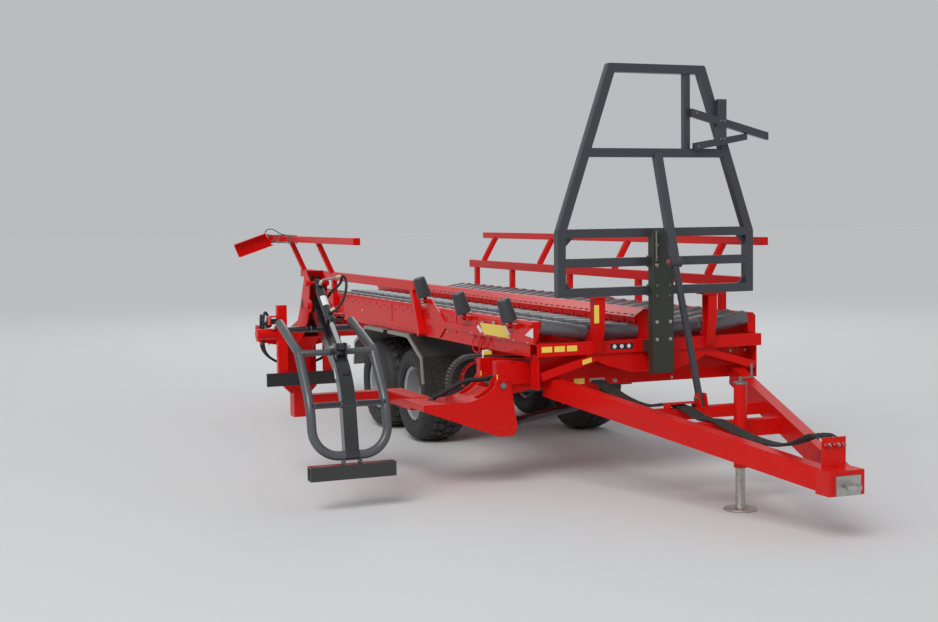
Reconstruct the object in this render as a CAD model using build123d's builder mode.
from build123d import *
import os
from math import cos, radians, sin

# Self-loading trailer for round bales, with a lifting arm and a bale grab at its right side.
# Frame: +X to the left of the direction of travel, +Y to the rear, +Z up, millimetres.
# The origin is the middle of the parking foot's underside, on the ground and on the centre line.

os.makedirs("parts", exist_ok=True)

# Driving dimensions of the chassis and the bed
BEAM_Y = 1500.0
BED_REAR_Y = 8860.0
BED_HALF = 1200.0
FRAME_BOTTOM = 950.0
BEAM_BOTTOM = 1215.0
FRAME_TOP = 1200.0
CROSS_TOP = 1330.0
LONG_X = 480.0
LONG_W = 120.0
CROSS_W = 80.0
CROSS_COUNT = 8
PLATE = 12.0
SHEET = 8.0

# Rollers of the two lanes
ROLLER_R = 70.0
ROLLER_PITCH = 262.0
ROLLER_COUNT = 28
ROLLER_FIRST_Y = 1600.0
OUTER_SLOPE = 9.5
INNER_SLOPE = 2.6
OUTER_ROLLER_L = 470.0
RIDGE_FACE = 100.489
OUTER_END = (BED_HALF - 105.0, 1478.0)
INNER_END = (OUTER_END[0] - OUTER_ROLLER_L - 50.0, 1424.0)
INNER_ROLLER_L = (INNER_END[0] - RIDGE_FACE) / cos(radians(INNER_SLOPE))

# Wheels
TYRE_R = 530.0
TYRE_W = 500.0
RIM_R = 290.0
WHEEL_X = 950.0
AXLE_MIDDLE = 5300.0
AXLE_SPREAD = 600.0
AXLE_YS = {"front": AXLE_MIDDLE - AXLE_SPREAD, "rear": AXLE_MIDDLE + AXLE_SPREAD}
SPINDLE_R = 45.0
RUN = 0.05

# Drawbar, towing eye and parking leg
EYE = (0.0, -1500.0, 450.0)
EYE_BORE_R = 25.0
EYE_THICK = 30.0
LEG_R = 40.0
LEG_TUBE_R = 55.0

# Loading arm: pivot along Y, seen in the XZ plane; each bearing post stands in a fork of two arm plates
PIVOT = (-1400.0, 945.0)
PIVOT_R = 30.0
POST_YS = (1785.0, 2160.0)
POST_HALF = 45.0
POST_TOP = 1165.0
POST_X = (PIVOT[0] - 55.0, PIVOT[0] + 90.0)
ARM_PLATE_T = 20.0
FORK_GAP = 5.0
PLATE_DY = POST_HALF + FORK_GAP + ARM_PLATE_T / 2
ARM_YS = (POST_YS[0] - PLATE_DY - ARM_PLATE_T / 2, POST_YS[1] + PLATE_DY + ARM_PLATE_T / 2)
EAR_R = 78.0
LIFT_Y = 1972.0
LIFT_EYE = (-1325.0, 540.0)
LIFT_FOOT = (-400.0, 700.0)

# Grab: centre plane and pivots, seen in the YZ plane
GRAB_X = -2950.0
JAW_HALF = 335.0
JAW_PIVOT = (2300.0, 1700.0)
JAW_PIN_R = 25.0
CLAMP_TOP = (2330.0, 1900.0)
CLAMP_EYE = (1678.0, 1374.0)
REAR_PIVOT = (2800.0, 1420.0)
REAR_TUBE_R = 50.0
REAR_EYE = (2700.0, 1540.0)
REAR_FOOT = (3170.0, 1450.0)
REAR_ARM_DX = 220.0
REAR_CYLINDER_DX = 312.0

BASE = (Align.CENTER, Align.CENTER, Align.MIN)


def keep(builder, label):
    """Label a finished piece and write it as its own file."""
    builder.part.label = label
    export_step(builder.part, "parts/" + label + ".step")


def block(low, high, mode=Mode.ADD):
    """Box between two opposite corners."""
    centre = [(a + b) / 2 for a, b in zip(low, high)]
    size = [b - a for a, b in zip(low, high)]
    with Locations(tuple(centre)):
        Box(*size, mode=mode)


def both_blocks(low, high, mode=Mode.ADD):
    """The same box on both sides of the centre line."""
    block(low, high, mode)
    block((-high[0], low[1], low[2]), (-low[0], high[1], high[2]), mode)


def rod(start, end, radius, mode=Mode.ADD):
    """Round bar between two points."""
    way = Vector(*end) - Vector(*start)
    with Locations(Plane(origin=start, z_dir=way)):
        Cylinder(radius, way.length, align=BASE, mode=mode)


def bar(start, end, width, height, across=(1, 0, 0), mode=Mode.ADD):
    """Rectangular bar between two points, its width along the direction across."""
    way = Vector(*end) - Vector(*start)
    side = Vector(*across)
    side = side - way.normalized() * side.dot(way.normalized())
    with Locations(Plane(origin=start, x_dir=side, z_dir=way)):
        Box(width, height, way.length, align=BASE, mode=mode)


def plate_xz(points, y_low, y_high, mode=Mode.ADD):
    """Plate with its outline in the XZ plane."""
    with BuildSketch(Plane(origin=(0, y_low, 0), x_dir=(1, 0, 0), z_dir=(0, -1, 0))) as outline:
        with BuildLine():
            Polyline(*points, close=True)
        make_face()
    extrude(outline.sketch, amount=y_high - y_low, dir=(0, 1, 0), mode=mode)


def plate_yz(points, x_low, x_high, mode=Mode.ADD):
    """Plate with its outline in the YZ plane."""
    with BuildSketch(Plane.YZ.offset(x_low)) as outline:
        with BuildLine():
            Polyline(*points, close=True)
        make_face()
    extrude(outline.sketch, amount=x_high - x_low, mode=mode)


# Chassis: two long beams, cross members, front bulkhead and rear beam
CROSS_YS = [BEAM_Y + 190 + i * (BED_REAR_Y - BEAM_Y - 260) / (CROSS_COUNT - 1) for i in range(CROSS_COUNT)]
BULKHEAD = (BEAM_Y + 120, BEAM_Y + 140)
SIDE_PLATE_X = BED_HALF - 40
with BuildPart() as main_frame:
    both_blocks((LONG_X - LONG_W / 2, BULKHEAD[1], FRAME_BOTTOM), (LONG_X + LONG_W / 2, BED_REAR_Y, FRAME_TOP))
    for y in CROSS_YS:
        block((SHEET - BED_HALF, y - CROSS_W / 2, FRAME_TOP), (BED_HALF - SHEET, y + CROSS_W / 2, CROSS_TOP))
    block((-SIDE_PLATE_X, BULKHEAD[0], 910), (SIDE_PLATE_X, BULKHEAD[1], FRAME_TOP))
    both_blocks((SIDE_PLATE_X - 15, BEAM_Y - 20, 910), (SIDE_PLATE_X, BULKHEAD[0], BEAM_BOTTOM))
    block((-BED_HALF, BED_REAR_Y - 20, FRAME_BOTTOM), (BED_HALF, BED_REAR_Y, FRAME_TOP))
keep(main_frame, "main_frame")

# Front beam: a channel open to the rear, a rib plate below it, two struts and two curved stop posts
STOP_X = 590.0
STOP_TOP = 1740.0
STOP_W = 95.0
BEAM_FRONT = BEAM_Y - 60
with BuildPart() as front_beam:
    plate_yz([(BEAM_FRONT, BEAM_BOTTOM), (BEAM_Y + 60, BEAM_BOTTOM), (BEAM_Y + 60, BEAM_BOTTOM + PLATE),
              (BEAM_FRONT + PLATE, BEAM_BOTTOM + PLATE), (BEAM_FRONT + PLATE, CROSS_TOP - PLATE),
              (BEAM_Y + 60, CROSS_TOP - PLATE), (BEAM_Y + 60, CROSS_TOP), (BEAM_FRONT, CROSS_TOP)],
             15 - BED_HALF, BED_HALF - 15)
    plate_xz([(-720, BEAM_BOTTOM), (-470, 1100), (-220, 1030), (220, 1030), (470, 1100), (720, BEAM_BOTTOM)],
             BEAM_Y - 40, BEAM_Y - 25)
    for side in (-1, 1):
        bar((side * (SIDE_PLATE_X - 30), BEAM_Y - 20, 1030), (side * 560, BEAM_Y - 20, 1190), 40, 70, across=(0, 1, 0))
        low_x = side * STOP_X - STOP_W / 2
        with BuildSketch(Plane.YZ.offset(low_x)) as stop_side:
            with BuildLine():
                Polyline((BEAM_FRONT, CROSS_TOP), (BEAM_FRONT, BEAM_BOTTOM + 10), (BEAM_FRONT - 15, BEAM_BOTTOM + 10))
                ThreePointArc((BEAM_FRONT - 15, BEAM_BOTTOM + 10), (BEAM_FRONT - 65, 1400), (BEAM_FRONT - 85, 1600))
                Polyline((BEAM_FRONT - 85, 1600), (BEAM_FRONT - 85, STOP_TOP - PLATE),
                         (BEAM_FRONT + 30, STOP_TOP - PLATE), (BEAM_FRONT + 30, 1560))
                ThreePointArc((BEAM_FRONT + 30, 1560), (BEAM_FRONT + 25, 1430), (BEAM_FRONT, CROSS_TOP))
            make_face()
        extrude(stop_side.sketch, amount=STOP_W)
        pocket = low_x + PLATE if side < 0 else low_x
        with BuildSketch(Plane.YZ.offset(pocket)) as stop_pocket:
            with BuildLine():
                Polyline((BEAM_FRONT - 45, 1400), (BEAM_FRONT - 70, 1600), (BEAM_FRONT - 70, STOP_TOP - 30),
                         (BEAM_FRONT + 15, STOP_TOP - 30), (BEAM_FRONT + 15, 1560), (BEAM_FRONT - 8, 1320), close=True)
            make_face()
        extrude(stop_pocket.sketch, amount=STOP_W - PLATE, mode=Mode.SUBTRACT)
        block((side * STOP_X - 108, BEAM_Y - 160, STOP_TOP - PLATE), (side * STOP_X + 108, BEAM_Y - 20, STOP_TOP))
keep(front_beam, "front_beam")

# Drawbar: two converging beams, a cross member and the head that holds the towing eye
BAR_REAR = (1000.0, BULKHEAD[0], 930.0)
BAR_HEAD = (75.0, -1290.0, 470.0)
STAY_FOOT = (615.0, 800.0)
with BuildPart() as drawbar:
    for side in (-1, 1):
        bar((side * BAR_REAR[0], BAR_REAR[1], BAR_REAR[2]), (side * BAR_HEAD[0], BAR_HEAD[1], BAR_HEAD[2]),
            110, 180)
    block((-560, 70, 600), (560, 170, 740))
    block((-700, STAY_FOOT[0] - 50, STAY_FOOT[1] - 100), (700, STAY_FOOT[0] + 50, STAY_FOOT[1]))
    block((-160, -1420, 370), (160, -1250, 560))
    split(bisect_by=Plane.XZ.offset(-BULKHEAD[0]), keep=Keep.TOP)
keep(drawbar, "drawbar")

with BuildPart() as towing_eye:
    with Locations((0, -1420, EYE[2])):
        Box(220, 25, 150, align=(Align.CENTER, Align.MAX, Align.CENTER))
        Box(60, 60, EYE_THICK, align=(Align.CENTER, Align.MAX, Align.CENTER))
    with Locations(EYE):
        Cylinder(60, EYE_THICK)
        Cylinder(EYE_BORE_R, EYE_THICK, mode=Mode.SUBTRACT)
keep(towing_eye, "towing_eye")

# Parking leg: a fixed tube on the drawbar's cross member and the leg that slides in it
with BuildPart() as leg_tube:
    with Locations((0, 0, 360)):
        Cylinder(LEG_TUBE_R, 700, align=BASE)
        Cylinder(LEG_R + RUN, 690, align=BASE, mode=Mode.SUBTRACT)
    block((-45, 40, 600), (45, 70, 740))
    with Locations((0, 0, 360)):
        Cylinder(LEG_R + RUN, 690, align=BASE, mode=Mode.SUBTRACT)
keep(leg_tube, "leg_tube")

with BuildPart() as parking_leg:
    Cylinder(140, 18, align=BASE)
    with Locations((0, 0, 18)):
        Cylinder(LEG_R, 640, align=BASE)
keep(parking_leg, "parking_leg")

# Side frames of the bed: the inner wall is square to the sloping rollers
WALL_LEAN = sin(radians(OUTER_SLOPE)) / cos(radians(OUTER_SLOPE))


def wall_x(z):
    """Where the inner wall of a side frame stands at a height."""
    return OUTER_END[0] + (OUTER_END[1] - z) * WALL_LEAN


SKIRT_LOW = FRAME_TOP + 5
SIDE_TOP = 1525.0
for side, name in ((-1, "right"), (1, "left")):
    with BuildPart() as side_frame:
        plate_xz([(side * BED_HALF, SKIRT_LOW), (side * BED_HALF, SIDE_TOP - 30), (side * (BED_HALF - 30), SIDE_TOP),
                  (side * wall_x(SIDE_TOP), SIDE_TOP), (side * wall_x(CROSS_TOP), CROSS_TOP),
                  (side * (BED_HALF - SHEET), CROSS_TOP), (side * (BED_HALF - SHEET), SKIRT_LOW)],
                 BEAM_Y + 60, BED_REAR_Y)
    keep(side_frame, "side_frame_" + name)

# Divider ridge on the centre line and the two keels between outer and inner rollers
OUTER_DIR = (cos(radians(OUTER_SLOPE)), sin(radians(OUTER_SLOPE)))
INNER_DIR = (cos(radians(INNER_SLOPE)), sin(radians(INNER_SLOPE)))
KEEL_OUT = (OUTER_END[0] - OUTER_ROLLER_L * OUTER_DIR[0], OUTER_END[1] - OUTER_ROLLER_L * OUTER_DIR[1])
RIDGE_OUT = (INNER_END[0] - INNER_ROLLER_L * INNER_DIR[0], INNER_END[1] - INNER_ROLLER_L * INNER_DIR[1])
INNER_LEAN = INNER_DIR[1] / INNER_DIR[0]


def keel_x(z):
    """Keel face that meets the outer rollers."""
    return KEEL_OUT[0] + (KEEL_OUT[1] - z) * WALL_LEAN


def inner_x(end, z):
    """Face that meets the inner rollers at one of their ends."""
    return end[0] + (end[1] - z) * INNER_LEAN


KEEL_TOP = 1425.0
RIDGE_TOP = 1604.0
RIDGE_HALF = 139.0
RIDGE_LIP = (1500.0, 1530.0)
with BuildPart() as divider:
    low_x = inner_x(RIDGE_OUT, CROSS_TOP)
    neck_x = inner_x(RIDGE_OUT, RIDGE_LIP[0])
    plate_xz([(-low_x, CROSS_TOP), (low_x, CROSS_TOP), (neck_x, RIDGE_LIP[0]), (RIDGE_HALF, RIDGE_LIP[0]),
              (RIDGE_HALF, RIDGE_LIP[1]), (30, RIDGE_TOP), (-30, RIDGE_TOP), (-RIDGE_HALF, RIDGE_LIP[1]),
              (-RIDGE_HALF, RIDGE_LIP[0]), (-neck_x, RIDGE_LIP[0])], BEAM_Y + 60, BED_REAR_Y)
keep(divider, "divider")

with BuildPart() as keels:
    for side in (-1, 1):
        plate_xz([(side * keel_x(CROSS_TOP), CROSS_TOP), (side * keel_x(KEEL_TOP), KEEL_TOP),
                  (side * inner_x(INNER_END, KEEL_TOP), KEEL_TOP),
                  (side * inner_x(INNER_END, CROSS_TOP), CROSS_TOP)], BEAM_Y + 60, BED_REAR_Y)
keep(keels, "keels")

# Rollers, one solid each, in one piece per side of a lane
ROLLER_YS = [ROLLER_FIRST_Y + i * ROLLER_PITCH for i in range(ROLLER_COUNT)]
ROLLER_ROWS = ((OUTER_END, OUTER_DIR, OUTER_ROLLER_L), (INNER_END, INNER_DIR, INNER_ROLLER_L))
for side, name in ((-1, "right"), (1, "left")):
    with BuildPart() as rollers:
        for end, way, length in ROLLER_ROWS:
            places = [Plane(origin=(side * end[0], y, end[1]), z_dir=(-side * way[0], 0, -way[1]))
                      for y in ROLLER_YS]
            with Locations(*places):
                Cylinder(ROLLER_R, length, align=BASE)
    keep(rollers, "rollers_" + name)

# Running gear: two axles under a rocker beam on each side
AXLE_HALF = 60.0
ROCKER_TOP = 760.0
for name, y in AXLE_YS.items():
    with BuildPart() as axle:
        block((-610, y - AXLE_HALF, TYRE_R - AXLE_HALF), (610, y + AXLE_HALF, TYRE_R + AXLE_HALF))
        rod((-WHEEL_X - 60, y, TYRE_R), (WHEEL_X + 60, y, TYRE_R), SPINDLE_R)
    keep(axle, "axle_" + name)

with BuildPart() as bogie:
    for side in (-1, 1):
        x = side * LONG_X
        block((x - 40, AXLE_YS["front"] - 90, TYRE_R + AXLE_HALF), (x + 40, AXLE_YS["rear"] + 90, ROCKER_TOP))
        for edge in (-1, 1):
            near = x + edge * 40
            far = x + edge * 60
            plate_yz([(AXLE_MIDDLE - 90, 660), (AXLE_MIDDLE + 90, 660), (AXLE_MIDDLE + 200, FRAME_BOTTOM),
                      (AXLE_MIDDLE - 200, FRAME_BOTTOM)], min(near, far), max(near, far))
keep(bogie, "bogie")

# Wheels: rim with its hub, and tyre
HUB_R = 90.0
for axle_name, y in AXLE_YS.items():
    for side, side_name in ((-1, "right"), (1, "left")):
        name = axle_name + "_" + side_name
        with BuildPart() as rim:
            with BuildSketch(Plane.XZ):
                with BuildLine():
                    Polyline((SPINDLE_R + RUN, -90), (HUB_R, -90), (HUB_R, 20), (230, 40), (RIM_R - 25, -30),
                             (RIM_R - 25, -TYRE_W * 0.4), (RIM_R, -TYRE_W * 0.4), (RIM_R, TYRE_W * 0.4),
                             (RIM_R - 25, TYRE_W * 0.4), (RIM_R - 25, 0), (230, 65), (HUB_R, 45), (HUB_R, 80),
                             (SPINDLE_R + RUN, 80), close=True)
                make_face()
            revolve(axis=Axis.Z)
        rim.part.label = "rim_" + name
        placed = Pos(side * WHEEL_X, y, TYRE_R) * Rot(0, side * 90, 0) * rim.part
        placed.label = "rim_" + name
        export_step(placed, "parts/rim_" + name + ".step")
        with BuildPart() as tyre:
            with BuildSketch(Plane.XZ):
                with BuildLine():
                    half = TYRE_W / 2
                    Line((RIM_R, half - 50), (RIM_R + 40, half - 10))
                    Line((RIM_R + 40, half - 10), (TYRE_R - 110, half))
                    ThreePointArc((TYRE_R - 110, half), (TYRE_R - 45, half - 20), (TYRE_R - 12, half - 75))
                    ThreePointArc((TYRE_R - 12, half - 75), (TYRE_R, 0), (TYRE_R - 12, 75 - half))
                    ThreePointArc((TYRE_R - 12, 75 - half), (TYRE_R - 45, 20 - half), (TYRE_R - 110, -half))
                    Line((TYRE_R - 110, -half), (RIM_R + 40, 10 - half))
                    Line((RIM_R + 40, 10 - half), (RIM_R, 50 - half))
                    Line((RIM_R, 50 - half), (RIM_R, half - 50))
                make_face()
            revolve(axis=Axis.Z)
        placed = Pos(side * WHEEL_X, y, TYRE_R) * Rot(0, side * 90, 0) * tyre.part
        placed.label = "tyre_" + name
        export_step(placed, "parts/tyre_" + name + ".step")

# Mudguards: one bent sheet with a lip over each wheel, and the rubber flap in front of the slope
GUARD_X = (WHEEL_X - 300, WHEEL_X + 325)
GUARD_GAP = 150.0
GUARD_SHEET = 6.0
GUARD_LIP = 36.0
GUARD_REACH = AXLE_SPREAD + TYRE_R + 10
GUARD_STEPS = ((GUARD_GAP / 2, FRAME_TOP), (AXLE_SPREAD + 120, FRAME_TOP), (GUARD_REACH, 985.0),
               (GUARD_REACH + 50, 700.0))


def guard_outline(end, thick):
    """Outline of a guard in the YZ plane: its outer line and the same line moved inwards."""
    outer = [(AXLE_MIDDLE + end * y, z) for y, z in GUARD_STEPS]
    shifts = ((0, thick), (0.2 * thick, thick), (0.8 * thick, 0.8 * thick), (thick, 0))
    inner = [(y - end * dy, z - dz) for (y, z), (dy, dz) in zip(outer, shifts)]
    return outer + inner[::-1]


for side, name in ((-1, "right"), (1, "left")):
    with BuildPart() as mudguard:
        for end in (-1, 1):
            low, high = sorted((side * GUARD_X[0], side * GUARD_X[1]))
            plate_yz(guard_outline(end, GUARD_SHEET), low, high)
            lip, edge = sorted((side * GUARD_X[1], side * (GUARD_X[1] - GUARD_SHEET)))
            plate_yz(guard_outline(end, GUARD_LIP), lip, edge)
    keep(mudguard, "mudguard_" + name)

FLAP = 10.0
with BuildPart() as mudflaps:
    slope = [(AXLE_MIDDLE - y, z) for y, z in GUARD_STEPS[1:]]
    outline = slope + [(slope[2][0], 560), (slope[2][0] - FLAP, 560), (slope[2][0] - FLAP, slope[2][1] + 2),
                       (slope[1][0] - FLAP, slope[1][1] + 4), (slope[0][0] - FLAP, slope[0][1] + 4)]
    for side in (-1, 1):
        low, high = sorted((side * (GUARD_X[0] - 20), side * (GUARD_X[1] - 20)))
        plate_yz(outline, low, high)
keep(mudflaps, "mudflaps")

# Headboard: a frame of rectangular tube, its mast, its stay and the folding bracket
HEAD_Y = BEAM_Y - 120
HEAD_TUBE = 80.0
HEAD_HALF = 983.0
HEAD_TOP_HALF = 463.0
HEAD_LOW = 1785.0
HEAD_SHOULDER = 2314.0
HEAD_TOP = 3796.0
HEAD_MID = 3037.0
STAY_JOINT = (1053.0, 2050.0)


def leg_x(z):
    """Half width of the headboard's sloping legs at a height."""
    share = (z - HEAD_SHOULDER) / (HEAD_TOP - HEAD_SHOULDER)
    return HEAD_HALF + (HEAD_TOP_HALF - HEAD_HALF) * share


with BuildPart() as headboard:
    across = (0, 1, 0)
    for z, half in ((HEAD_LOW, HEAD_HALF), (2050, HEAD_HALF), (HEAD_SHOULDER, HEAD_HALF), (HEAD_MID, leg_x(HEAD_MID)),
                    (HEAD_TOP, HEAD_TOP_HALF)):
        block((-half - 30, HEAD_Y - 40, z - 40), (half + 30, HEAD_Y + 40, z + 40))
    for side in (-1, 1):
        bar((side * HEAD_HALF, HEAD_Y, HEAD_LOW - 40), (side * HEAD_HALF, HEAD_Y, HEAD_SHOULDER + 10),
            HEAD_TUBE, HEAD_TUBE, across)
        bar((side * HEAD_HALF, HEAD_Y, HEAD_SHOULDER), (side * HEAD_TOP_HALF, HEAD_Y, HEAD_TOP + 20),
            HEAD_TUBE, HEAD_TUBE, across)
    bar((315, HEAD_Y, HEAD_MID + 20), (315, HEAD_Y, HEAD_TOP), 60, 60, across)
    bar((0, HEAD_Y - 20, 3030), (0, STAY_JOINT[0], STAY_JOINT[1]), 80, 60)
    bar((0, STAY_JOINT[0] + 20, STAY_JOINT[1] + 60), (0, STAY_FOOT[0] - 20, STAY_FOOT[1] - 60), 52, 36)
    rod((-58, STAY_JOINT[0], STAY_JOINT[1]), (58, STAY_JOINT[0], STAY_JOINT[1]), 48)
    split(bisect_by=Plane.XY.offset(STAY_FOOT[1]), keep=Keep.TOP)
keep(headboard, "headboard")

with BuildPart() as mast:
    block((-110, BEAM_Y - 250, 1030), (110, BEAM_Y - 160, 2300))
    block((-110, BEAM_Y - 160, 1215), (110, BEAM_Y - 60, CROSS_TOP))
keep(mast, "headboard_mast")

# Arms of the folding bracket: distance from the centre line and drop below the headboard's top bar
HOOK_DEPTH = 50.0
HOOK_UPPER = [(331, 356), (331, 431), (1160, 636), (1160, 566)]
HOOK_LOWER = [(362, 668), (362, 736), (926, 636), (926, 576)]
with BuildPart() as hook:
    front, back = HEAD_Y - HEAD_TUBE / 2 - HOOK_DEPTH, HEAD_Y - HEAD_TUBE / 2
    for points in (HOOK_UPPER, HOOK_LOWER):
        plate_xz([(x, HEAD_TOP - drop) for x, drop in points], front, back)
    block((610, front, HEAD_TOP - 686), (700, back, HEAD_TOP - 266))
keep(hook, "headboard_bracket")

# Right side rail, its posts, the upper guard with its legs and the wing at its rear end
RAIL_X = -(BED_HALF + 40)
RAIL_Z = 1742.0
GUARD_TOP_X = RAIL_X - 210
GUARD_TOP_Z = 2200.0
GUARD_TOP_YS = (5740.0, 9350.0)
RAIL_YS = (4330.0, 8700.0)
with BuildPart() as side_rail_right:
    block((RAIL_X - 40, RAIL_YS[0], RAIL_Z - 50), (RAIL_X + 40, RAIL_YS[1], RAIL_Z + 50))
    bar((RAIL_X, 4450, RAIL_Z), (RAIL_X, 4215, 1215), 80, 80)
    for y in (7350, 8600):
        block((RAIL_X - 20, y - 35, 1240), (RAIL_X + 40, y + 35, RAIL_Z))
    block((GUARD_TOP_X - 40, GUARD_TOP_YS[0], GUARD_TOP_Z - 40), (GUARD_TOP_X + 40, GUARD_TOP_YS[1], GUARD_TOP_Z + 40))
    for y in (7350, 8600):
        bar((RAIL_X - 10, y, RAIL_Z + 20), (GUARD_TOP_X, y, GUARD_TOP_Z), 60, 60, across=(0, 1, 0))
keep(side_rail_right, "side_rail_right")

WING_TOP = [(-150, 75), (-591, -74)]
WING_LOW = [(-520, -250), (-50, -92)]
WING_FLANGE = 80.0


def wing_plate(points, y_low, y_high):
    """Plate of the wing, its points measured from the guard's middle line."""
    plate_xz([(GUARD_TOP_X + x, GUARD_TOP_Z + z) for x, z in points], y_low, y_high)


with BuildPart() as wing:
    wing_front = GUARD_TOP_YS[1]
    wing_plate(WING_TOP + WING_LOW, wing_front, wing_front + PLATE)
    for line, (dx, dz) in ((WING_TOP, (3, -10)), (WING_LOW, (-3, 10))):
        wing_plate(line + [(x + dx, z + dz) for x, z in line[::-1]], wing_front - WING_FLANGE, wing_front)
    wing_plate([(40, 40), (-130, 62), (-70, -70), (40, -35)], wing_front, wing_front + PLATE)
keep(wing, "guard_wing")

with BuildPart() as side_rail_left:
    block((-RAIL_X - 40, 1800, RAIL_Z + 13), (-RAIL_X + 40, RAIL_YS[1], RAIL_Z + 113))
    for y in (2200, 3900, 5600, 7300, 8500):
        block((-RAIL_X - 40, y - 35, CROSS_TOP), (-RAIL_X + 20, y + 35, RAIL_Z + 60))
    block((-GUARD_TOP_X - 40, 1780, GUARD_TOP_Z - 40), (-GUARD_TOP_X + 40, 8700, GUARD_TOP_Z + 40))
    for y in (2500, 4500, 6500, 8300):
        bar((-RAIL_X + 10, y, RAIL_Z + 110), (-GUARD_TOP_X, y, GUARD_TOP_Z), 60, 60, across=(0, 1, 0))
keep(side_rail_left, "side_rail_left")

# Guide cones on the right side: their rail, cantilevers and the cones themselves, and the blank sign plate
CONE_X = -(BED_HALF + 65)
CONES = {"rear": (4040.0, 1640.0), "middle": (2960.0, 1530.0), "front": (1860.0, 1520.0)}
CONE_LEAN = 18.0
CONE_H = 210.0
CONE_R = (76.0, 62.0)
CONE_RAIL_T = 16.0
CONE_WAY = (-sin(radians(CONE_LEAN)), 0, cos(radians(CONE_LEAN)))
with BuildPart() as cone_base:
    block((-BED_HALF - CONE_RAIL_T, BEAM_FRONT, CROSS_TOP), (-BED_HALF, 4150, CROSS_TOP + 70))
    for y, z in CONES.values():
        plate_xz([(-BED_HALF, z - 50), (-BED_HALF, z - 25), (CONE_X - 30, z - 30), (CONE_X - 30, z - 42)], y - 55, y + 55)
        with Locations(Plane(origin=(CONE_X, y, z), z_dir=CONE_WAY)):
            Cylinder(18, 38, align=(Align.CENTER, Align.CENTER, Align.MAX))
    rear_y, rear_z = CONES["rear"]
    plate_yz([(rear_y - 440, CROSS_TOP + 70), (rear_y - 440, CROSS_TOP), (rear_y - 280, SKIRT_LOW + 15),
              (rear_y - 200, SKIRT_LOW + 15), (rear_y + 110, rear_z - 40), (rear_y + 90, rear_z - 20),
              (rear_y - 60, rear_z - 25)], -BED_HALF - CONE_RAIL_T, -BED_HALF)
keep(cone_base, "cone_base")

with BuildPart() as cones:
    for y, z in CONES.values():
        with Locations(Plane(origin=(CONE_X, y, z), z_dir=CONE_WAY)):
            Cone(CONE_R[0], CONE_R[1], CONE_H, align=BASE)
keep(cones, "cones")

SIGN_X = (-BED_HALF - CONE_RAIL_T - SHEET, -BED_HALF - CONE_RAIL_T)
with BuildPart() as sign_plate:
    plate_yz([(BEAM_FRONT, 1330), (BEAM_FRONT, 1478), (1700, 1466), (2930, 1400), (2930, 1322)], SIGN_X[0], SIGN_X[1])
keep(sign_plate, "sign_plate")

# Drag chain that carries the hoses round the arm's pivot
CHAIN_Y = (POST_YS[1] + PLATE_DY + 30, POST_YS[1] + PLATE_DY + 110)
CHAIN_R = 235.0
CHAIN_LINKS = 12
CHAIN_MIDDLE = (-1470.0, 930.0)
with BuildPart() as drag_chain:
    block((CHAIN_MIDDLE[0], CHAIN_Y[0], CHAIN_MIDDLE[1] + CHAIN_R - 22), (-1240, CHAIN_Y[1], CHAIN_MIDDLE[1] + CHAIN_R + 22))
    block((-1290, POST_YS[1] + POST_HALF, 1040), (-1240, CHAIN_Y[1], CHAIN_MIDDLE[1] + CHAIN_R - 22))
    for i in range(CHAIN_LINKS):
        turn = radians(90 + (i + 0.5) * 110 / CHAIN_LINKS)
        place = (CHAIN_MIDDLE[0] + CHAIN_R * cos(turn), CHAIN_Y[0], CHAIN_MIDDLE[1] + CHAIN_R * sin(turn))
        with Locations(Plane(origin=place, x_dir=(cos(turn), 0, sin(turn)), z_dir=(0, 1, 0))):
            Box(44, 34, CHAIN_Y[1] - CHAIN_Y[0], align=BASE)
            Box(26, 44, CHAIN_Y[1] - CHAIN_Y[0], align=BASE)
keep(drag_chain, "drag_chain")

# Knuckle on the chassis: outrigger, two bearing posts with their gussets, and the pivot pins
LIFT_LUG_HALF = 50.0
LIFT_LUG_DY = 48.0
LIFT_PIN_R = 25.0
OUTRIGGER = (FRAME_BOTTOM, 1130.0)
with BuildPart() as knuckle:
    block((POST_X[1], POST_YS[0] - POST_HALF, OUTRIGGER[0]), (-LONG_X - LONG_W / 2, POST_YS[1] + POST_HALF, OUTRIGGER[1]))
    for y in POST_YS:
        block((POST_X[0], y - POST_HALF, 850), (POST_X[1], y + POST_HALF, POST_TOP))
        plate_xz([(POST_X[1], 850), (POST_X[1] + 500, OUTRIGGER[0]), (POST_X[1], OUTRIGGER[0])], y - 10, y + 10)
        plate_xz([(POST_X[1], POST_TOP), (POST_X[1], OUTRIGGER[1]), (POST_X[1] + 240, OUTRIGGER[1])], y - 10, y + 10)
        rod((PIVOT[0], y - POST_HALF, PIVOT[1]), (PIVOT[0], y + POST_HALF, PIVOT[1]), PIVOT_R, mode=Mode.SUBTRACT)
    for side in (-1, 1):
        y = LIFT_Y + side * (LIFT_LUG_HALF + 10)
        plate_xz([(LIFT_FOOT[0] - 90, FRAME_BOTTOM), (LIFT_FOOT[0] - 60, 640), (LIFT_FOOT[0] + 60, 640),
                  (LIFT_FOOT[0] + 90, FRAME_BOTTOM)], y - 10, y + 10)
    block((LIFT_FOOT[0] - 90, LIFT_Y - 70, FRAME_BOTTOM - 20), (LIFT_FOOT[0] + 90, LIFT_Y + 70, FRAME_BOTTOM))
    rod((LIFT_FOOT[0], LIFT_Y - 80, LIFT_FOOT[1]), (LIFT_FOOT[0], LIFT_Y + 80, LIFT_FOOT[1]), LIFT_PIN_R,
        mode=Mode.SUBTRACT)
keep(knuckle, "knuckle")

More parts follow.
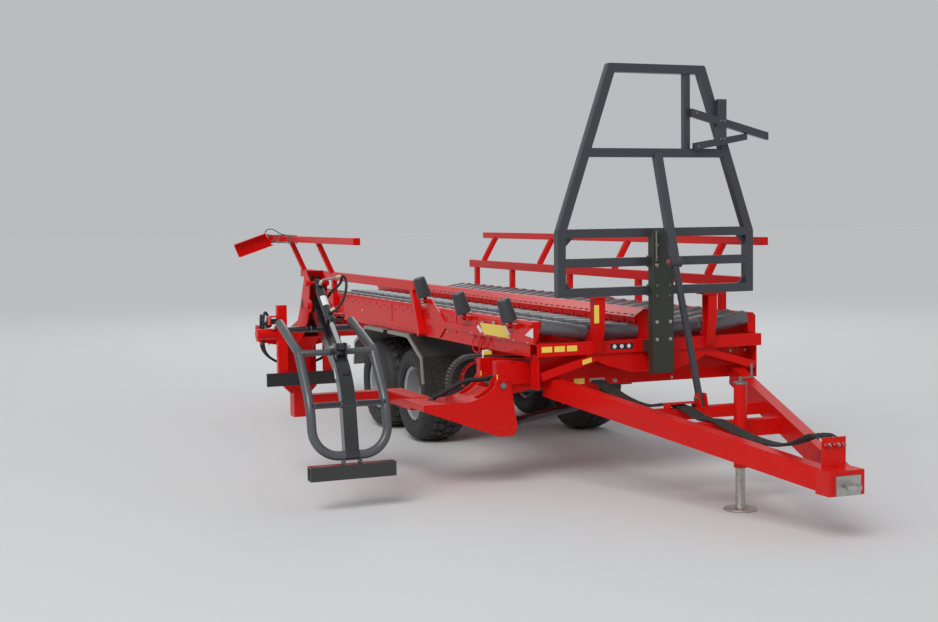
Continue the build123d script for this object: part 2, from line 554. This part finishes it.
with BuildPart() as knuckle_pins:
    for y in POST_YS:
        reach = PLATE_DY + ARM_PLATE_T / 2 + 15
        rod((PIVOT[0], y - reach, PIVOT[1]), (PIVOT[0], y + reach, PIVOT[1]), PIVOT_R)
    rod((LIFT_FOOT[0], LIFT_Y - 80, LIFT_FOOT[1]), (LIFT_FOOT[0], LIFT_Y + 80, LIFT_FOOT[1]), LIFT_PIN_R)
keep(knuckle_pins, "knuckle_pins")

# Loading arm: a box with a concave saddle that forks round both posts; the lift rod's eye hangs in its middle
ARM_LEFT = -2175.0
ARM_TOP = 812.0
FORK_HALF = POST_HALF + FORK_GAP
SWEEP_R = 265.0
MIDDLE_YS = (POST_YS[0] + PLATE_DY + ARM_PLATE_T / 2, POST_YS[1] - PLATE_DY - ARM_PLATE_T / 2)
with BuildPart() as arm:
    with BuildSketch(Plane(origin=(0, ARM_YS[0], 0), x_dir=(1, 0, 0), z_dir=(0, -1, 0))):
        with BuildLine():
            Polyline((PIVOT[0] + EAR_R, PIVOT[1]), (-1260, 560), (-1300, 480), (-1440, 480), (ARM_LEFT, 755),
                     (ARM_LEFT, ARM_TOP), (-1860, ARM_TOP))
            ThreePointArc((-1860, ARM_TOP), (-1615, 850), (PIVOT[0] - EAR_R, PIVOT[1]))
            ThreePointArc((PIVOT[0] - EAR_R, PIVOT[1]), (PIVOT[0], PIVOT[1] + EAR_R), (PIVOT[0] + EAR_R, PIVOT[1]))
        make_face()
    extrude(amount=ARM_YS[1] - ARM_YS[0], dir=(0, 1, 0))
    for y in POST_YS:
        rod((PIVOT[0], y - FORK_HALF, PIVOT[1]), (PIVOT[0], y + FORK_HALF, PIVOT[1]), SWEEP_R, mode=Mode.SUBTRACT)
        rod((PIVOT[0], y - 80, PIVOT[1]), (PIVOT[0], y + 80, PIVOT[1]), PIVOT_R + RUN, mode=Mode.SUBTRACT)
    plate_xz([(-1200, 494), (-1440, 494), (-1640, 640), (-1640, 790), (-1505, 850), (-1505, 1100), (-1200, 1100)],
             MIDDLE_YS[0], MIDDLE_YS[1], mode=Mode.SUBTRACT)
    for y in (LIFT_Y - LIFT_LUG_DY, LIFT_Y + LIFT_LUG_DY):
        plate_xz([(-1300, 494), (LIFT_EYE[0] + 50, 560), (LIFT_EYE[0] + 20, 600), (LIFT_EYE[0] - 55, 600),
                  (LIFT_EYE[0] - 90, 494)], y - 10, y + 10)
keep(arm, "arm")

# Reach beam behind the bale and the foot of the tower
REACH_X = -2010.0
REACH_Z = (700.0, 820.0)
TOWER_REAR = (2870.0, 3010.0)
with BuildPart() as reach:
    block((REACH_X - 95, ARM_YS[1], REACH_Z[0]), (REACH_X + 95, TOWER_REAR[1], REACH_Z[1]))
    block((GRAB_X + 85, TOWER_REAR[0], REACH_Z[0]), (REACH_X + 95, TOWER_REAR[1], REACH_Z[1]))
keep(reach, "reach_beam")

# Tower: channel section, open to the front, with ears for the jaw pivot
TOWER_HALF = 85.0
REAR_PIN_R = 16.0
with BuildPart() as tower:
    front = [(2285, 1925), (2330, 1640), (2385, 1545), (2560, 1400), (2700, 1320), (TOWER_REAR[0], 1200),
             (TOWER_REAR[0], 620)]
    rear = [(2400, 2010), (2470, 1915), (2614, 1651), (2690, 1545), (2900, 1480), (TOWER_REAR[1], 1350),
            (TOWER_REAR[1], 620)]
    outline = front + rear[::-1]
    back = rear + [(y - PLATE, z) for y, z in rear[::-1]]
    for side in (-1, 1):
        x = GRAB_X + side * (TOWER_HALF - PLATE / 2)
        with BuildSketch(Plane.YZ.offset(x - PLATE / 2)):
            with BuildLine():
                Polyline(*outline, close=True)
            make_face()
            with BuildLine():
                Line((2255, 1745), (2480, 1800))
                Line((2480, 1800), (2600, 1560))
                Line((2600, 1560), (2315, 1640))
                ThreePointArc((2315, 1640), (2240, 1682), (2255, 1745))
            make_face()
            with Locations(CLAMP_TOP):
                Circle(50)
        extrude(amount=PLATE)
    plate_yz(back, GRAB_X - TOWER_HALF + PLATE, GRAB_X + TOWER_HALF - PLATE)
    plate_yz(front[3:] + [(y + PLATE, z + 3) for y, z in front[:2:-1]],
             GRAB_X - TOWER_HALF + PLATE, GRAB_X + TOWER_HALF - PLATE)
    for side in (-1, 1):
        plate_xz([(GRAB_X + side * (TOWER_HALF - 1), 1400), (GRAB_X + side * 155, 1300), (GRAB_X + side * 155, 900),
                  (GRAB_X + side * (TOWER_HALF - 1), REACH_Z[1] + 10)], TOWER_REAR[1] - 80, TOWER_REAR[1])
        plate_xz([(GRAB_X + side * 150, 1290), (GRAB_X + side * 400, 1340), (GRAB_X + side * 400, 1365),
                  (GRAB_X + side * 200, 1365), (GRAB_X + side * 100, 1375), (GRAB_X + side * 100, 1290)],
                 TOWER_REAR[1] - 80, TOWER_REAR[1])
    for side in (-1, 1):
        centre = GRAB_X + side * REAR_CYLINDER_DX
        for x in (centre - 45, centre + 33):
            plate_yz([(TOWER_REAR[1] - 40, 1360), (TOWER_REAR[1], 1300), (REAR_FOOT[0] + 30, REAR_FOOT[1] - 20),
                      (REAR_FOOT[0] + 25, REAR_FOOT[1] + 30), (REAR_FOOT[0] - 25, REAR_FOOT[1] + 30),
                      (TOWER_REAR[1] - 40, 1362)], x, x + 12)
        rod((centre - 60, REAR_FOOT[0], REAR_FOOT[1]), (centre + 60, REAR_FOOT[0], REAR_FOOT[1]), REAR_PIN_R,
            mode=Mode.SUBTRACT)
    rod((GRAB_X - TOWER_HALF - 5, JAW_PIVOT[0], JAW_PIVOT[1]), (GRAB_X + TOWER_HALF + 5, JAW_PIVOT[0], JAW_PIVOT[1]),
        JAW_PIN_R, mode=Mode.SUBTRACT)
    rod((GRAB_X - TOWER_HALF - 5, CLAMP_TOP[0], CLAMP_TOP[1]), (GRAB_X + TOWER_HALF + 5, CLAMP_TOP[0], CLAMP_TOP[1]),
        20, mode=Mode.SUBTRACT)
    rod((GRAB_X - TOWER_HALF - 5, REAR_PIVOT[0], REAR_PIVOT[1]), (GRAB_X + TOWER_HALF + 5, REAR_PIVOT[0], REAR_PIVOT[1]),
        REAR_TUBE_R, mode=Mode.SUBTRACT)
keep(tower, "tower")

with BuildPart() as tower_pins:
    rod((GRAB_X - 100, JAW_PIVOT[0], JAW_PIVOT[1]), (GRAB_X + 100, JAW_PIVOT[0], JAW_PIVOT[1]), JAW_PIN_R)
    rod((GRAB_X - 100, CLAMP_TOP[0], CLAMP_TOP[1]), (GRAB_X + 100, CLAMP_TOP[0], CLAMP_TOP[1]), 20)
    rod((GRAB_X - 450, REAR_PIVOT[0], REAR_PIVOT[1]), (GRAB_X + 520, REAR_PIVOT[0], REAR_PIVOT[1]), REAR_TUBE_R)
    for side in (-1, 1):
        centre = GRAB_X + side * REAR_CYLINDER_DX
        rod((centre - 52, REAR_FOOT[0], REAR_FOOT[1]), (centre + 52, REAR_FOOT[0], REAR_FOOT[1]), REAR_PIN_R)
keep(tower_pins, "tower_pins")

# Front jaw: bent tube frame, cross tubes, middle beam, lugs for the rod and the pad
JAW_TUBE_R = 40.0
SIDE_POINTS = [(2400, 1545), (1800, 1335), (1475, 905), (1400, 480)]
JAW_RADII = [120, 500, 230]
with BuildPart() as front_jaw:
    left = [(GRAB_X - JAW_HALF, y, z) for y, z in SIDE_POINTS]
    right = [(GRAB_X + JAW_HALF, y, z) for y, z in reversed(SIDE_POINTS)]
    with BuildLine() as path:
        FilletPolyline(*left, *right, radius=JAW_RADII + JAW_RADII[::-1])
    with BuildSketch(Plane(origin=path.line @ 0, z_dir=path.line % 0)):
        Circle(JAW_TUBE_R)
    sweep(path=path.line)
    for y, z in ((2330, 1487), (1775, 1325), (1470, 905)):
        rod((GRAB_X - JAW_HALF + 8, y, z), (GRAB_X + JAW_HALF - 8, y, z), 27)
    with BuildSketch(Plane.YZ.offset(GRAB_X - 62)):
        with BuildLine():
            Line((2265, 1743), (1729, 1325))
            ThreePointArc((1729, 1325), (1545, 1140), (1450, 905))
            Line((1450, 905), (1372, 440))
            Line((1372, 440), (1462, 440))
            Line((1462, 440), (1540, 905))
            ThreePointArc((1540, 905), (1630, 1095), (1798, 1240))
            Line((1798, 1240), (2335, 1657))
            ThreePointArc((2335, 1657), (2343, 1734), (2265, 1743))
        make_face()
    extrude(amount=124)
    block((GRAB_X - 380, 1345, 282), (GRAB_X + 380, 1445, 405))
    for side in (-1, 1):
        block((GRAB_X + side * 75 - 10, 1375, 400), (GRAB_X + side * 75 + 10, 1435, 470))
        plate_yz([(CLAMP_EYE[0] - 40, CLAMP_EYE[1] - 110), (CLAMP_EYE[0] - 40, CLAMP_EYE[1] + 35),
                  (CLAMP_EYE[0] + 40, CLAMP_EYE[1] + 35), (CLAMP_EYE[0] + 120, CLAMP_EYE[1] - 20)],
                 GRAB_X + side * 45 - 8, GRAB_X + side * 45 + 8)
    rod((GRAB_X - 70, JAW_PIVOT[0], JAW_PIVOT[1]), (GRAB_X + 70, JAW_PIVOT[0], JAW_PIVOT[1]),
        JAW_PIN_R + RUN, mode=Mode.SUBTRACT)
keep(front_jaw, "front_jaw")

# Rear jaw: two arms on sleeves round the tower's cross tube, a top bar and a pad
with BuildPart() as rear_jaw:
    for side in (-1, 1):
        x = GRAB_X + side * REAR_ARM_DX
        block((x - 45, 2730, 960), (x + 45, 2790, 1685))
        rod((x - 45, REAR_PIVOT[0], REAR_PIVOT[1]), (x + 45, REAR_PIVOT[0], REAR_PIVOT[1]), 75)
    block((GRAB_X - 380, 2700, 940), (GRAB_X + 380, 2730, 1060))
    for side in (-1, 1):
        outer = side * (REAR_CYLINDER_DX + 45)
        root = side * (REAR_ARM_DX + 44)
        low_x = GRAB_X + min(outer, root)
        high_x = GRAB_X + max(outer, root)
        block((low_x, REAR_EYE[0] - 60, REAR_EYE[1] + 42), (high_x, 2745, REAR_EYE[1] + 54))
        for x in (low_x, high_x - 12):
            plate_yz([(REAR_EYE[0] - 60, REAR_EYE[1] + 44), (REAR_EYE[0] - 25, REAR_EYE[1] - 30),
                      (REAR_EYE[0] + 25, REAR_EYE[1] - 30), (REAR_EYE[0] + 45, REAR_EYE[1] + 44)], x, x + 12)
    rod((GRAB_X - 500, REAR_PIVOT[0], REAR_PIVOT[1]), (GRAB_X + 500, REAR_PIVOT[0], REAR_PIVOT[1]),
        REAR_TUBE_R + RUN, mode=Mode.SUBTRACT)
keep(rear_jaw, "rear_jaw")


def cylinder_pair(name, places, barrel_r, rod_r, barrel_len, eye_r, pin_r, width):
    """Barrels pinned at their feet and rods that end in eyes, one pair for each (foot, eye) of places."""
    with BuildPart() as barrel:
        for foot, eye in places:
            foot = Vector(*foot)
            way = (Vector(*eye) - foot).normalized()
            half = (Vector(1, 0, 0) if abs(way.X) < 0.5 else Vector(0, 1, 0)) * (width / 2)
            rod(tuple(foot - half), tuple(foot + half), eye_r)
            rod(tuple(foot + way * (eye_r * 0.8)), tuple(foot + way * barrel_len), barrel_r)
            rod(tuple(foot + way * (barrel_len - 45)), tuple(foot + way * (barrel_len - 10)), barrel_r + 6)
            rod(tuple(foot - half * 2), tuple(foot + half * 2), pin_r + RUN, mode=Mode.SUBTRACT)
            rod(tuple(foot + way * (eye_r * 1.6)), tuple(foot + way * (barrel_len + 5)), rod_r + RUN, mode=Mode.SUBTRACT)
    keep(barrel, name + "_barrel")
    with BuildPart() as piston:
        for foot, eye in places:
            way = (Vector(*eye) - Vector(*foot)).normalized()
            half = (Vector(1, 0, 0) if abs(way.X) < 0.5 else Vector(0, 1, 0)) * (width / 2)
            rod(tuple(Vector(*eye) - way * (barrel_len * 0.62)), tuple(Vector(*eye) - way * (eye_r * 0.7)), rod_r)
            rod(tuple(Vector(*eye) - half), tuple(Vector(*eye) + half), eye_r)
    keep(piston, name + "_rod")


def yz_places(foot, eye, xs):
    """Foot and eye of each cylinder that works in a YZ plane."""
    return [((x, foot[0], foot[1]), (x, eye[0], eye[1])) for x in xs]


cylinder_pair("lift", [((LIFT_FOOT[0], LIFT_Y, LIFT_FOOT[1]), (LIFT_EYE[0], LIFT_Y, LIFT_EYE[1]))],
              42, 24, 780, 45, LIFT_PIN_R, 60)
cylinder_pair("clamp", yz_places(CLAMP_TOP, CLAMP_EYE, [GRAB_X]), 42, 20, 520, 38, 20, 60)
cylinder_pair("rear", yz_places(REAR_FOOT, REAR_EYE, [GRAB_X - REAR_CYLINDER_DX, GRAB_X + REAR_CYLINDER_DX]),
              30, 17, 300, 26, REAR_PIN_R, 50)

# Rear end: lamp carriers
with BuildPart() as lamps:
    for side in (-1, 1):
        block((side * 1000 - 150, BED_REAR_Y, 1010), (side * 1000 + 150, BED_REAR_Y + 45, 1140))
keep(lamps, "rear_lamps")
